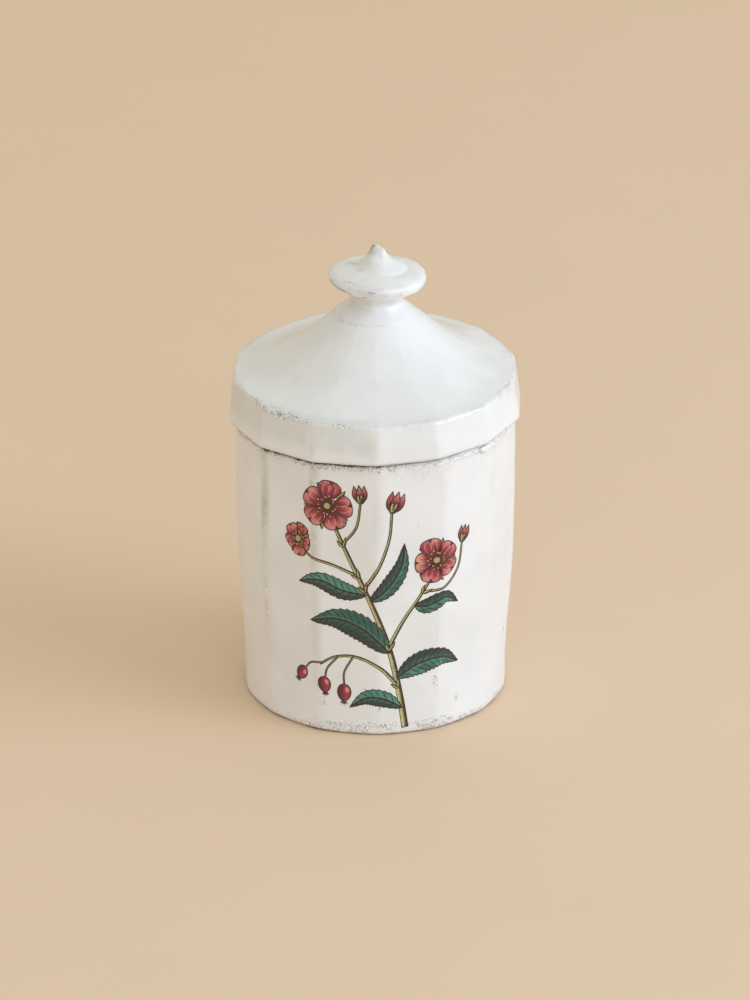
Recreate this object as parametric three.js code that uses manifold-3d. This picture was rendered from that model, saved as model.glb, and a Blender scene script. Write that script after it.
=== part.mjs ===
// A lidded ceramic box: a tapered jar with fourteen pared facets, and a lid with a knob.
// Millimetres, +Z up. The origin is the centre of the foot, on the surface that the box stands on.
// The front is -Y. The clay parts are those that a potter forms one by one and joins with slip.
import * as THREE from "three";
import { ConvexGeometry } from "three/addons/geometries/ConvexGeometry.js";
import { mergeVertices } from "three/addons/utils/BufferGeometryUtils.js";
import Module from "manifold-3d";

// Facets, in degrees round the box. Paring by hand lets the ridges drift from even spacing.
const facetCount = 14;
const ridgeRadius = 5;
const jarParing = { turn: 1.6, drift: 1.4, start: -20 };
const lidParing = { turn: -0.4, drift: 2, start: 150 };

// Jar: radii are measured over the ridges
const footRadius = 41.7;
const mouthRadius = 44.6;
const taperHeight = 62;
const jarHeight = 93.6;
const footFacets = 0.15;
const jarFacets = 0.85;
const fullFacetHeight = 30;
const wallThickness = 4.6;
const floorThickness = 6;
const footEdge = 1.6;
const coveRadius = 4;
const rimEdge = 1.3;
const rimSlant = THREE.MathUtils.degToRad(1.4);

// Lid: heights are measured from its seat on the rim
const lidRadius = 46.6;
const lidEdge = 1.5;
const lipFacets = 0.8;
const shoulderRadius = 44.9;
const shoulderHeight = 14.2;
const shoulderEdge = 1.4;
const shoulderFacets = 0.4;
const shoulderRise = { right: -1, back: 1.9 };
const coverHeight = 33;
const coverShift = 0.6;
const coverThickness = 5;
const hollowEdge = 0.5;
const borderWidth = 13.6;
const borderRise = 2.4;
const coneLength = 12;
const coneSlope = THREE.MathUtils.degToRad(43);
const facetFade = 12;
const ringDepth = 7;
const ringWall = 3.7;
const ringClearance = 1.4;
const ringEdge = 1.1;

// Knob: heights are measured from the face that each part sits on
const collarRadius = 12.7;
const collarEdge = 0.3;
const collarStep = 2;
const collarSlope = 2.5;
const neckRadius = 8.4;
const neckHeight = 5.4;
const neckWaist = 0.3;
const neckFlare = 1.5;
const knobShift = 1;
const knobLean = THREE.MathUtils.degToRad(2.6);
const discRadius = 15.4;
const discRimHeight = 6;
const discRimEdge = 2.3;
const discHeight = 9.4;
const discFlare = { width: 0.8, height: 1.3 };
const discDip = { width: 2.2, depth: 0.5 };
const buttonRadius = 7.6;
const buttonEdge = 0.7;
const buttonSlope = 0.9;
const buttonHollow = 1.4;
const buttonHeight = 4.4;
const finialShift = 1;

// Tip: pinched up between two fingers, highest left of its middle, with a shoulder and a spread
// foot on the right
const tipShift = -1.4;
const tipRadius = 2.55;
const tipSink = 0.6;
const tipFoot = { radius: 3.6, shift: 0.25, drop: 0.8 };
const tipShoulder = 4.9;
const shoulderTilt = 0.22;
const tipHeight = 7.4;
const peakRadius = 0.5;
const peakShift = -0.5;
const pinch = 0.8;

// Gaps: slip between parts that are fired together, and air under the loose lid
const slip = 0.05;
const seatGap = 0.3;

// How finely the round forms are drawn
const knobSteps = 36;
const arcSteps = 3;
const ridgeSteps = 2;
const sweepSteps = 8;
const tipSteps = 12;

const glaze = { color: 0xe8e8e4, roughness: 0.28, metalness: 0 };
const bareClay = { color: 0x4a3d34, roughness: 0.9, metalness: 0 };
const wasm = await Module();
wasm.setup();

// The angles of the ridges, counted from the front. The drift comes twice round the box.
function ridgeAngles({ turn, drift, start }) {
  return Array.from({ length: facetCount }, (_, i) => {
    const even = (i / facetCount) * 360;
    const wave = Math.sin(THREE.MathUtils.degToRad(2 * even + start));
    return THREE.MathUtils.degToRad(even + turn + drift * wave);
  });
}

const atAngle = (radius, angle) =>
  new THREE.Vector2(radius * Math.sin(angle), -radius * Math.cos(angle));

// Flat facets joined by rounded ridges, as one closed ring of points, with one in each facet's middle.
function facetedOutline(radius, angles) {
  const corners = angles.map((angle) => atAngle(radius, angle));
  const path = new THREE.Path();
  corners.forEach((corner, i) => {
    const next = corners[(i + 1) % corners.length];
    const middle = corner.clone().lerp(next, 0.5);
    const before = corners.at(i - 1).clone().sub(corner);
    const after = next.clone().sub(corner);
    const turn = Math.PI - before.angleTo(after);
    const cut = ridgeRadius * Math.tan(turn / 2);
    const start = before.setLength(cut).add(corner);
    const end = after.setLength(cut).add(corner);
    if (i === 0) path.moveTo(start.x, start.y);
    else path.lineTo(start.x, start.y);
    path.quadraticCurveTo(corner.x, corner.y, end.x, end.y);
    path.lineTo(middle.x, middle.y);
  });
  return path.getPoints(ridgeSteps);
}

// A ring of points at one height. Facets is 1 for flat facets, 0 for a round wall, and between
// the two the facets bulge a little, as pared clay does.
function section(angles, { radius, z, facets = 0 }) {
  return facetedOutline(radius, angles).map((point) => {
    const round = point.clone().setLength(radius);
    const mixed = round.lerp(point, facets);
    return new THREE.Vector3(mixed.x, mixed.y, z);
  });
}

// Skins sections into one closed solid. They run up the outside and on, as the wall is drawn in
// a cut: a ring goes back to its first section, and a solid form is closed at both ends.
function skin(angles, rows, isRing) {
  const rings = rows.map((row) => section(angles, row));
  const around = rings[0].length;
  const points = rings.flat();
  const triangles = [];
  const last = isRing ? rings.length : rings.length - 1;
  for (let row = 0; row < last; row++) {
    const low = row * around;
    const high = ((row + 1) % rings.length) * around;
    for (let i = 0; i < around; i++) {
      const next = (i + 1) % around;
      triangles.push(low + i, low + next, high + next);
      triangles.push(low + i, high + next, high + i);
    }
  }
  if (!isRing) {
    const bottom = points.push(new THREE.Vector3(0, 0, rows[0].z)) - 1;
    const top = points.push(new THREE.Vector3(0, 0, rows.at(-1).z)) - 1;
    const topRow = (rings.length - 1) * around;
    for (let i = 0; i < around; i++) {
      const next = (i + 1) % around;
      triangles.push(bottom, next, i);
      triangles.push(top, topRow + i, topRow + next);
    }
  }
  const geometry = new THREE.BufferGeometry().setFromPoints(points);
  geometry.setIndex(triangles);
  return geometry;
}

// Points of a rounded edge, from one angle to another round a centre in the cut.
function edge(centreRadius, centreZ, size, from, to, facets = 0) {
  return Array.from({ length: arcSteps + 1 }, (_, i) => {
    const angle = THREE.MathUtils.degToRad(from + ((to - from) * i) / arcSteps);
    return {
      radius: centreRadius + size * Math.cos(angle),
      z: centreZ + size * Math.sin(angle),
      facets,
    };
  });
}

// A turned form, round the Z axis, from its [radius, height] points.
function turned(points, steps = knobSteps) {
  const profile = points.map(([radius, z]) => new THREE.Vector2(radius, z));
  return new THREE.LatheGeometry(profile, steps).rotateX(Math.PI / 2);
}

// Slants a form's top, so that it rises towards +X, and shifts it, with its base kept flat.
function leanTop(geometry, base, top, slope, shift = 0) {
  const place = geometry.attributes.position;
  for (let i = 0; i < place.count; i++) {
    const share = (place.getZ(i) - base) / (top - base);
    const x = place.getX(i);
    place.setX(i, x + shift * share);
    place.setZ(i, place.getZ(i) + x * slope * share);
  }
  return geometry;
}

function solidOf(geometry) {
  const bare = geometry.clone();
  bare.deleteAttribute("normal");
  bare.deleteAttribute("uv");
  const merged = mergeVertices(bare, 1e-4);
  return new wasm.Manifold(
    new wasm.Mesh({
      numProp: 3,
      vertProperties: new Float32Array(merged.attributes.position.array),
      triVerts: new Uint32Array(merged.index.array),
    }),
  );
}

function geometryOf(solid) {
  const mesh = solid.getMesh();
  const geometry = new THREE.BufferGeometry();
  geometry.setAttribute("position", new THREE.BufferAttribute(mesh.vertProperties, 3));
  geometry.setIndex(new THREE.BufferAttribute(mesh.triVerts, 1));
  return geometry;
}

function part(name, geometry, finish = glaze) {
  geometry.computeVertexNormals();
  const mesh = new THREE.Mesh(geometry, new THREE.MeshStandardMaterial(finish));
  mesh.name = name;
  return mesh;
}

// The jar's outer radius at a height: it swells from the foot and is straight near the mouth.
function jarRadius(z) {
  return THREE.MathUtils.lerp(footRadius, mouthRadius, THREE.MathUtils.smoothstep(z, 0, taperHeight));
}

// The facets fade out towards the foot, which is nearly round.
function facetsAt(z) {
  const share = THREE.MathUtils.smoothstep(z, 0, fullFacetHeight);
  return THREE.MathUtils.lerp(footFacets, jarFacets, share);
}

const jarAngles = ridgeAngles(jarParing);
const lidAngles = ridgeAngles(lidParing);
const boreRadius = mouthRadius - wallThickness;
const hollowRadius = boreRadius - ringClearance - ringWall;

// The slab that the wall is luted on, with a flat underside.
function jarFloor() {
  return skin(
    jarAngles,
    [
      ...edge(jarRadius(0) - footEdge, footEdge, footEdge, -90, 0, footFacets),
      { radius: jarRadius(floorThickness), z: floorThickness, facets: facetsAt(floorThickness) },
    ],
    false,
  );
}

// The pared wall, from the slab to the rim, with a cove where it meets the slab inside.
function jarWall() {
  const base = floorThickness + slip;
  const heights = [0, 0.2, 0.4, 0.6, 0.8, 1].map((share) =>
    THREE.MathUtils.lerp(base, jarHeight - rimEdge, share),
  );
  const outside = heights
    .slice(0, -1)
    .map((z) => ({ radius: jarRadius(z), z, facets: facetsAt(z) }));
  const inside = heights
    .slice(1, -1)
    .reverse()
    .map((z) => ({ radius: jarRadius(z) - wallThickness, z }));
  const coveTop = base + coveRadius;
  const coveCentre = jarRadius(coveTop) - wallThickness - coveRadius;
  const geometry = skin(
    jarAngles,
    [
      ...outside,
      ...edge(mouthRadius - rimEdge, jarHeight - rimEdge, rimEdge, 0, 90, jarFacets),
      ...edge(boreRadius + rimEdge, jarHeight - rimEdge, rimEdge, 90, 180),
      ...inside,
      ...edge(coveCentre, coveTop, coveRadius, 0, -90),
    ],
    true,
  );
  return leanTop(geometry, base, jarHeight, Math.tan(rimSlant));
}

// The cut of the cover's upper surface: a nearly flat border inside the shoulder, then a hollow
// sweep up to the knob.
function coverSweep() {
  const shoulder = new THREE.Vector2(shoulderRadius - shoulderEdge, shoulderHeight);
  const crown = new THREE.Vector2(collarRadius, coverHeight);
  const down = new THREE.Vector2(Math.cos(coneSlope), -Math.sin(coneSlope));
  return new THREE.CubicBezierCurve(
    shoulder,
    shoulder.clone().add(new THREE.Vector2(-borderWidth, borderRise)),
    crown.clone().addScaledVector(down, coneLength),
    crown,
  );
}

// The underside follows the upper surface at an even thickness, from the crown out to the wall.
function coverHollow() {
  const sweep = coverSweep();
  const under = Array.from({ length: sweepSteps + 1 }, (_, i) => {
    const share = 1 - i / sweepSteps;
    const along = sweep.getTangent(share);
    const inward = new THREE.Vector2(-along.y, along.x).multiplyScalar(coverThickness);
    return sweep.getPoint(share).add(inward);
  });
  const inside = under.filter((point) => point.x < hollowRadius - hollowEdge);
  inside.push(new THREE.Vector2(hollowRadius, inside.at(-1).y - hollowEdge));
  inside.push(new THREE.Vector2(hollowRadius, 0));
  return inside.map(({ x, y }) => ({ radius: x, z: y }));
}

// The lid's cover: a faceted skirt, a round dome and the hollow under it.
function lidCover() {
  const roundFrom = shoulderRadius - shoulderEdge;
  const top = coverSweep()
    .getPoints(sweepSteps)
    .slice(1)
    .map(({ x, y }) => ({
      radius: x,
      z: y,
      facets: shoulderFacets * THREE.MathUtils.smoothstep(x, roundFrom - facetFade, roundFrom),
    }));
  const geometry = skin(
    lidAngles,
    [
      ...coverHollow(),
      ...edge(lidRadius - lidEdge, lidEdge, lidEdge, -90, 0, lipFacets),
      ...edge(roundFrom, shoulderHeight - shoulderEdge, shoulderEdge, 0, 90, shoulderFacets),
      ...top,
    ],
    false,
  );
  return leanShoulder(geometry);
}

// The skirt's height varies: the shoulder leans, and the seat and the crown stay square.
function leanShoulder(geometry) {
  const right = Math.tan(THREE.MathUtils.degToRad(shoulderRise.right));
  const back = Math.tan(THREE.MathUtils.degToRad(shoulderRise.back));
  const place = geometry.attributes.position;
  for (let i = 0; i < place.count; i++) {
    const [x, y, z] = [place.getX(i), place.getY(i), place.getZ(i)];
    const share = Math.min(z / shoulderHeight, (coverHeight - z) / (coverHeight - shoulderHeight));
    place.setX(i, x + (coverShift * z) / coverHeight);
    place.setZ(i, z + share * (x * right + y * back));
  }
  return geometry;
}

// The ring under the cover that drops into the jar's mouth and keeps the lid central.
function locatingRing() {
  const outer = boreRadius - ringClearance;
  const inner = outer - ringWall;
  const rounded = (centre, from, to) =>
    edge(centre, ringEdge - ringDepth, ringEdge, from, to).map(({ radius, z }) => [radius, z]);
  const profile = [
    [inner, -slip],
    ...rounded(inner + ringEdge, -180, -90),
    ...rounded(outer - ringEdge, -90, 0),
    [outer, -slip],
    [inner, -slip],
  ];
  return turned(profile, facetCount * 3);
}

// The stepped collar and neck that carry the knob. Its top leans with the knob.
function knobCollar() {
  const waist = neckRadius - neckWaist;
  const profile = [
    [0, 0],
    [collarRadius - collarEdge, 0],
    [collarRadius, collarEdge],
    [collarRadius - collarSlope, collarStep],
    [waist + neckFlare, collarStep + neckFlare / 3],
    [waist + neckFlare / 3, collarStep + neckFlare],
    [waist, (collarStep + neckHeight + neckFlare) / 2],
    [neckRadius, neckHeight],
    [0, neckHeight],
  ];
  return leanTop(turned(profile), 0, neckHeight, -Math.tan(knobLean), knobShift);
}

// The lens-shaped disc that the fingers lift by, with a shallow dip round the button.
function knobDisc() {
  const rim = edge(discRadius - discRimEdge, discRimHeight, discRimEdge, -60, 60);
  const seat = buttonRadius + finialShift;
  const profile = [
    [0, 0],
    [neckRadius, 0],
    [neckRadius + discFlare.width, discFlare.height],
    ...rim.map(({ radius, z }) => [radius, z]),
    [seat + discDip.width, discHeight - discDip.depth],
    [seat, discHeight],
    [0, discHeight],
  ];
  return turned(profile);
}

// A level ring of points for the tip, which can be squashed from front to back and tilted.
function tipRing(radius, z, { shift = 0, depth = 1, tilt = 0 } = {}) {
  return Array.from({ length: tipSteps }, (_, i) => {
    const { x, y } = atAngle(radius, (i / tipSteps) * 2 * Math.PI);
    return new THREE.Vector3(x + shift, y * depth, z + x * tilt);
  });
}

// The button on the disc, leaning to the left, and the pinched tip on it, as one piece of clay.
function knobFinial() {
  const profile = [
    [0, 0],
    [buttonRadius - buttonEdge / 2, 0],
    [buttonRadius, buttonEdge],
    [buttonRadius - buttonSlope, 2 * buttonEdge],
    [buttonRadius / 2, buttonHeight - buttonHollow],
    [tipRadius, buttonHeight],
    [0, buttonHeight],
  ];
  const button = leanTop(turned(profile), 0, buttonHeight, 0, tipShift);
  const tip = new ConvexGeometry([
    ...tipRing(tipRadius, buttonHeight - tipSink),
    ...tipRing(tipFoot.radius, buttonHeight - tipFoot.drop, { shift: tipFoot.shift }),
    ...tipRing(tipRadius, tipShoulder, { depth: pinch, tilt: shoulderTilt }),
    ...tipRing(peakRadius, tipHeight, { shift: peakShift, depth: pinch }),
  ]).translate(tipShift, 0, 0);
  return geometryOf(solidOf(button).add(solidOf(tip)));
}

const box = new THREE.Group();
box.add(part("jar_floor", jarFloor()), part("jar_wall", jarWall()));

const lid = new THREE.Group();
lid.position.z = jarHeight + seatGap;
lid.rotation.y = -rimSlant;
lid.add(part("lid_cover", lidCover()), part("lid_locating_ring", locatingRing(), bareClay));

const collar = part("knob_collar", knobCollar());
collar.position.set(coverShift, 0, coverHeight + slip);
lid.add(collar);

const knob = new THREE.Group();
knob.position.set(coverShift + knobShift, 0, collar.position.z + neckHeight + slip);
knob.rotation.y = knobLean;
const finial = part("knob_finial", knobFinial());
finial.position.set(finialShift, 0, discHeight + slip);
knob.add(part("knob_disc", knobDisc()), finial);
lid.add(knob);
box.add(lid);

export default box;
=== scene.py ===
"""A lidded ceramic box in milky white glaze over dark clay, with a flowering sprig fired on its front."""
import math
from typing import NamedTuple

import bmesh
import bpy
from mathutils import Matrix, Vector, noise
from mathutils.bvhtree import BVHTree
from mathutils.kdtree import KDTree


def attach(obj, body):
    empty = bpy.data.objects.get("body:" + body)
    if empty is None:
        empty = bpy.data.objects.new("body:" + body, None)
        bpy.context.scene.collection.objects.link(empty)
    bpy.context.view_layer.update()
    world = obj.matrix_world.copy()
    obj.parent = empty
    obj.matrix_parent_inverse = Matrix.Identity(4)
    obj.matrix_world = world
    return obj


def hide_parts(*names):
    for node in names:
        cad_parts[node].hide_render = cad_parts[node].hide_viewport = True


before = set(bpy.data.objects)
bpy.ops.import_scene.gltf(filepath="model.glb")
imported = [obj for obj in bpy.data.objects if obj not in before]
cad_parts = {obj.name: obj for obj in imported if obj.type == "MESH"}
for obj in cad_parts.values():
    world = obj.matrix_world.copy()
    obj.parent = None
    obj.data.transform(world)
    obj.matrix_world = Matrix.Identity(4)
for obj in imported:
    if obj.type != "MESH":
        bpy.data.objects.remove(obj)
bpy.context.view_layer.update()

MM = 0.001

# The view, in millimetres and degrees, and the photograph's frame
EYE_DISTANCE = 1800
EYE_PITCH = 24.2
EYE_TARGET = (0, 0, 62.4)
FOCAL_LENGTH = 205.4
SENSOR = 36

# Facets and ridges, in degrees. A paring is its turn, how far it drifts, and where the drift starts
FACETS = 14
JAR_PARING = (1.6, 1.4, -20)
LID_PARING = (-0.4, 2.0, 150)
JAR_RIDGE_WIDTH = 2.6
LID_RIDGE_WIDTH = 1.7
RIDGE_WANDER = 0.5
WANDER_LENGTH = 17
WANDER_TURN = 1.9
LINES_IN_FACET = 3

# Millimetres over which bare clay gives way to glaze
BARE_SLOPE = 1.2

# How many steps a wall, a skirt, a dome and its hollow are built up in
WALL_STEPS = 24
SKIRT_STEPS = 8
DOME_STEPS = 16
HOLLOW_STEPS = 7

# Jar, in millimetres
FOOT_RADIUS = 41.7
MOUTH_RADIUS = 44.6
TAPER_HEIGHT = 62
JAR_HEIGHT = 93.6
FOOT_FACETS = 0.15
JAR_FACETS = 0.85
FULL_FACET_HEIGHT = 30
WALL = 4.6
FLOOR = 6
FOOT_EDGE = 1.6
COVE = 4
RIM_EDGE = 1.3
RIM_SLOPE = math.tan(math.radians(1.4))

# Lid, with heights from its seat on the rim. The shoulder rises towards +X and towards the back
SEAT = JAR_HEIGHT + 0.3
LID_RADIUS = 46.6
LID_EDGE = 1.5
LIP_FACETS = 0.8
SHOULDER_RADIUS = 44.9
SHOULDER_HEIGHT = 14.2
SHOULDER_EDGE = 1.4
SHOULDER_FACETS = 0.4
SHOULDER_RISE = (math.tan(math.radians(-1)), math.tan(math.radians(1.9)))
COVER_HEIGHT = 33
COVER_SHIFT = 0.6
COVER_THICKNESS = 5
BORDER = (13.6, 2.4)
CONE_LENGTH = 12
CONE_SLOPE = math.radians(43)
FACET_FADE = 12
RING_DEPTH = 7
RING_OUTER = MOUTH_RADIUS - WALL - 1.4
RING_INNER = RING_OUTER - 3.7
RING_EDGE = 1.1

# Knob, with heights from the dome's crown
COLLAR_RADIUS = 12.7
NECK_RADIUS = 8.4
NECK_HEIGHT = 5.4
NECK_WAIST = 0.3
KNOB_SHIFT = 1
KNOB_LEAN = math.radians(2.6)
DISC_RADIUS = 15.4
DISC_RIM = 6
DISC_RIM_EDGE = 2.3
DISC_HEIGHT = 9.4
BUTTON_RADIUS = 7.6
BUTTON_HEIGHT = 4.4
FINIAL_SHIFT = 1
TIP_SHIFT = -1.4
TIP_RADIUS = 2.55
TIP_HEIGHT = 7.4
PEAK_SHIFT = -0.5
PINCH = 0.8
TIP_EDGE = 2.75
FACE = NECK_HEIGHT + DISC_HEIGHT
CROWN_Z = SEAT + COVER_HEIGHT
DISC_Z = CROWN_Z + NECK_HEIGHT
TIP_Z = CROWN_Z + FACE + BUTTON_HEIGHT


def smooth(value, low, high):
    """0 below low and 1 above high, with a smooth step between."""
    share = min(max((value - low) / (high - low), 0), 1)
    return share * share * (3 - 2 * share)


def fade(value, low, high):
    """1 below low and 0 above high."""
    return 1 - smooth(value, low, high)


def between(value, low, full, falling, gone):
    """Up from 0 at low to 1 at full, and down again from falling to gone."""
    return smooth(value, low, full) * fade(value, falling, gone)


def most(*values):
    """The largest of some values, kept from 0 to 1."""
    return min(max(*values, 0), 1)


def mix(a, b, share):
    return a + (b - a) * share


def azimuth(x, y):
    """Degrees round the box from the front, positive towards +X."""
    return math.degrees(math.atan2(x, -y))


def ridge_angles(paring):
    turn, drift, start = paring
    even = [index * 360 / FACETS - 180 for index in range(FACETS)]
    return [angle + turn + drift * math.sin(math.radians(2 * angle + start)) for angle in even]


def nearest_ridge(angle, ridges):
    """The nearest ridge's number and the degrees from it."""
    away = [(angle - ridge + 180) % 360 - 180 for ridge in ridges]
    best = min(range(len(ridges)), key=lambda index: abs(away[index]))
    return best, away[best]


def by_ridge(ridges, shares):
    """Shares by the number of the ridge nearest to each angle."""
    return {nearest_ridge(angle, ridges)[0]: share for angle, share in shares.items()}


class Ring(NamedTuple):
    """One section of a clay form, in millimetres. rise is its slope towards +X and squash its depth."""
    radius: float
    z: float
    facets: float = 0
    shift: float = 0
    rise: float = 0
    squash: float = 1
    back_rise: float = 0


class Columns:
    """The azimuths, in degrees, of the lines that run up a form, with three lines at each ridge."""

    def __init__(self, ridges, ridge_width):
        self.angles = []
        self.flats = []
        for ridge, following in zip(ridges, ridges[1:] + [ridges[0] + 360]):
            middle, half = (ridge + following) / 2, (following - ridge) / 2
            inner = half - ridge_width
            lines = [mix(-inner, inner, step / (LINES_IN_FACET - 1)) for step in range(LINES_IN_FACET)]
            for away in [-half] + lines:
                self.angles.append(middle + away)
                self.flats.append(math.cos(math.radians(half)) / math.cos(math.radians(away)))

    def point(self, column, ring):
        facet = column // (LINES_IN_FACET + 1)
        wander = RIDGE_WANDER * ring.facets * math.sin(ring.z / WANDER_LENGTH + facet * WANDER_TURN)
        angle = math.radians(self.angles[column] + wander)
        radius = ring.radius * mix(1, self.flats[column], ring.facets)
        x, y = radius * math.sin(angle), -radius * math.cos(angle) * ring.squash
        z = ring.z + x * ring.rise + y * ring.back_rise
        return Vector((x + ring.shift, y, z)) * MM


class RoundColumns(Columns):
    """Evenly spaced lines for a form with no facets."""

    def __init__(self, count):
        self.angles = [(index + 0.5) * 360 / count - 180 for index in range(count)]
        self.flats = [1] * count


def deselect_all():
    bpy.ops.object.select_all(action="DESELECT")


def make_active(piece):
    deselect_all()
    piece.select_set(True)
    bpy.context.view_layer.objects.active = piece


def build_up(name, rings, columns):
    """Extrudes a form ring by ring from its first disc, shapes each ring, and closes it."""
    deselect_all()
    bpy.ops.mesh.primitive_circle_add(vertices=len(columns.angles), fill_type="NGON")
    piece = bpy.context.object
    piece.name = name
    bpy.ops.object.mode_set(mode="EDIT")
    mesh = bmesh.from_edit_mesh(piece.data)
    line = mesh.verts.layers.int.new("line")
    by_angle = sorted(mesh.verts, key=lambda vertex: azimuth(vertex.co.x, vertex.co.y))
    for column, vertex in enumerate(by_angle):
        vertex[line] = column
        vertex.co = columns.point(column, rings[0])
    for ring in rings[1:]:
        bpy.ops.mesh.extrude_region_move()
        mesh = bmesh.from_edit_mesh(piece.data)
        line = mesh.verts.layers.int["line"]
        for vertex in mesh.verts:
            if vertex.select:
                vertex.co = columns.point(vertex[line], ring)
    bpy.ops.mesh.select_all(action="SELECT")
    bpy.ops.mesh.normals_make_consistent(inside=False)
    bpy.ops.object.mode_set(mode="OBJECT")
    piece.data.attributes.remove(piece.data.attributes["line"])
    return piece


def apply_modifier(piece, kind, **settings):
    make_active(piece)
    modifier = piece.modifiers.new(kind.lower(), kind)
    for key, value in settings.items():
        setattr(modifier, key, value)
    bpy.ops.object.modifier_apply(modifier=modifier.name)


def join(pieces, name):
    make_active(pieces[0])
    for piece in pieces:
        piece.select_set(True)
    bpy.ops.object.join()
    pieces[0].name = name
    return pieces[0]


def loosen(piece, amount, size, weight):
    """Moves the surface in and out by up to half an amount, in lumps of a size, both in millimetres."""
    lumps = bpy.data.textures.new(piece.name + "_lumps", "CLOUDS")
    lumps.noise_scale = size * MM
    lumps.noise_depth = 1
    group = piece.vertex_groups.new(name="loose")
    for vertex in piece.data.vertices:
        group.add([vertex.index], weight(vertex.co / MM), "REPLACE")
    apply_modifier(
        piece, "DISPLACE", texture=lumps, texture_coords="LOCAL", strength=amount * MM, mid_level=0.5,
        vertex_group=group.name,
    )
    piece.vertex_groups.clear()
    bpy.data.textures.remove(lumps)


# The kinds of wear each point stores; the grey of thin glaze also holds painted shade on the knob, and bare
# clay the painted shadow of the gap under the lid
WEAR_AND_SHADE = ("worn", "thin_and_shade", "bare_and_gap_shadow", "pooled")


def paint(piece, *amounts):
    """Stores each kind of wear and painted shade at each point of the surface. An amount takes the point in
    millimetres.
    """
    for name, amount in zip(WEAR_AND_SHADE, amounts):
        values = [amount(vertex.co / MM, vertex.normal) for vertex in piece.data.vertices]
        piece.data.attributes.new(name, "FLOAT", "POINT").data.foreach_set("value", values)


def never(point, normal):
    return 0


def everywhere(point, normal):
    return 1


def model(name, rings, columns, looseness, lumps, wear_and_shade):
    """Builds a form, rounds it off, loosens it by lumps of given amounts and sizes, and paints its wear and
    painted shade.
    """
    piece = build_up(name, rings, columns)
    apply_modifier(piece, "SUBSURF", levels=2, render_levels=2)
    for amount, size in lumps:
        loosen(piece, amount, size, looseness)
    paint(piece, *wear_and_shade)
    return piece


def ragged(point, size, seed=0):
    """Noise between -1 and 1, in patches of a size in millimetres."""
    return noise.noise(Vector(point) / size + Vector((seed * 7.3, seed * 3.1, seed * 5.7)))


def edge_rings(centre_radius, centre_z, size, start, end, steps=3, **more):
    """Rings round a rounded edge, between two angles in its cut."""
    rings = []
    for step in range(steps + 1):
        angle = math.radians(mix(start, end, step / steps))
        rings.append(Ring(centre_radius + size * math.cos(angle), centre_z + size * math.sin(angle), **more))
    return rings


# The jar

JAR_RIDGES = ridge_angles(JAR_PARING)
WORN_RIDGES = by_ridge(JAR_RIDGES, {-51: 0.75, -26: 0.95, 1: 0.15, 28: 0.2, 155: 0.6, 180: 0.5, 77: 0.3})
THIN_RIDGES = by_ridge(JAR_RIDGES, {-51: 0.95, -26: 1.0, 1: 0.22, 28: 0.15, 155: 0.5, 180: 0.6, 103: 0.4})


def jar_radius(z):
    return mix(FOOT_RADIUS, MOUTH_RADIUS, smooth(z, 0, TAPER_HEIGHT))


def jar_facets(z):
    return mix(FOOT_FACETS, JAR_FACETS, smooth(z, 0, FULL_FACET_HEIGHT))


def slant_to_rim(ring):
    share = max(ring.z - FLOOR, 0) / (JAR_HEIGHT - FLOOR)
    return ring._replace(rise=RIM_SLOPE * share)


def jar_rings():
    bore = MOUTH_RADIUS - WALL
    wall_top = JAR_HEIGHT - RIM_EDGE
    under = [Ring(10, 0), Ring(26, 0), Ring(FOOT_RADIUS - 5, 0, FOOT_FACETS)]
    foot = edge_rings(FOOT_RADIUS - FOOT_EDGE, FOOT_EDGE, FOOT_EDGE, -90, 0, facets=FOOT_FACETS)
    heights = [mix(FOOT_EDGE, wall_top, step / WALL_STEPS) for step in range(1, WALL_STEPS)]
    outside = [Ring(jar_radius(z), z, jar_facets(z)) for z in heights]
    rim = edge_rings(MOUTH_RADIUS - RIM_EDGE, wall_top, RIM_EDGE, 0, 90, facets=JAR_FACETS)
    rim += edge_rings(bore + RIM_EDGE, wall_top, RIM_EDGE, 90, 180)
    inside = [Ring(jar_radius(z) - WALL, z) for z in reversed(heights) if z > FLOOR + COVE + 2]
    cove_z = FLOOR + COVE
    cove = edge_rings(jar_radius(cove_z) - WALL - COVE, cove_z, COVE, 0, -90)
    floor = [Ring(24, FLOOR), Ring(8, FLOOR)]
    return [slant_to_rim(ring) for ring in under + foot + outside + rim + inside + cove + floor]


def rim_height(x):
    return JAR_HEIGHT + x * RIM_SLOPE


def jar_looseness(point):
    """The rim, the foot and the floor keep their places."""
    return smooth(point.z, 0.3, 4) * smooth(rim_height(point.x) - point.z, 0.5, 5)


def jar_worn(point, normal):
    """Where the glaze has crawled and broken: along the rim, the foot and some ridges."""
    radius = math.hypot(point.x, point.y)
    if radius < jar_radius(point.z) - WALL / 2 and point.z < JAR_HEIGHT - 3:
        return 0
    angle = azimuth(point.x, point.y)
    below_rim = rim_height(point.x) - point.z
    rim = fade(below_rim, 1.2, 2.3 + 0.5 * smooth(angle, -50, -20) + 0.9 * ragged(point, 6, 1))
    rim *= 0.35 + 0.75 * smooth(-angle, -30, 10) + 0.4 * ragged(point, 9, 2)
    heap = between(angle, -34, -20, 26, 48)
    foot = fade(point.z, 2.0 + 1.2 * heap, 3.6 + 1.4 * heap + 1.6 * ragged(point, 6, 3))
    foot *= 0.15 + 0.6 * smooth(angle, -45, -25) + 0.35 * heap + 0.4 * ragged(point, 9, 4)
    ridge, away = nearest_ridge(angle, JAR_RIDGES)
    streak = fade(abs(away), 0.5, 1.8) * WORN_RIDGES.get(ridge, 0) * smooth(ragged(point, 9, 5), 0.1, 0.5)
    streak *= (0.3 + 0.7 * smooth(point.z, 20, 34)) * fade(point.z, 74, 80)
    return most(rim, foot, streak)


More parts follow.
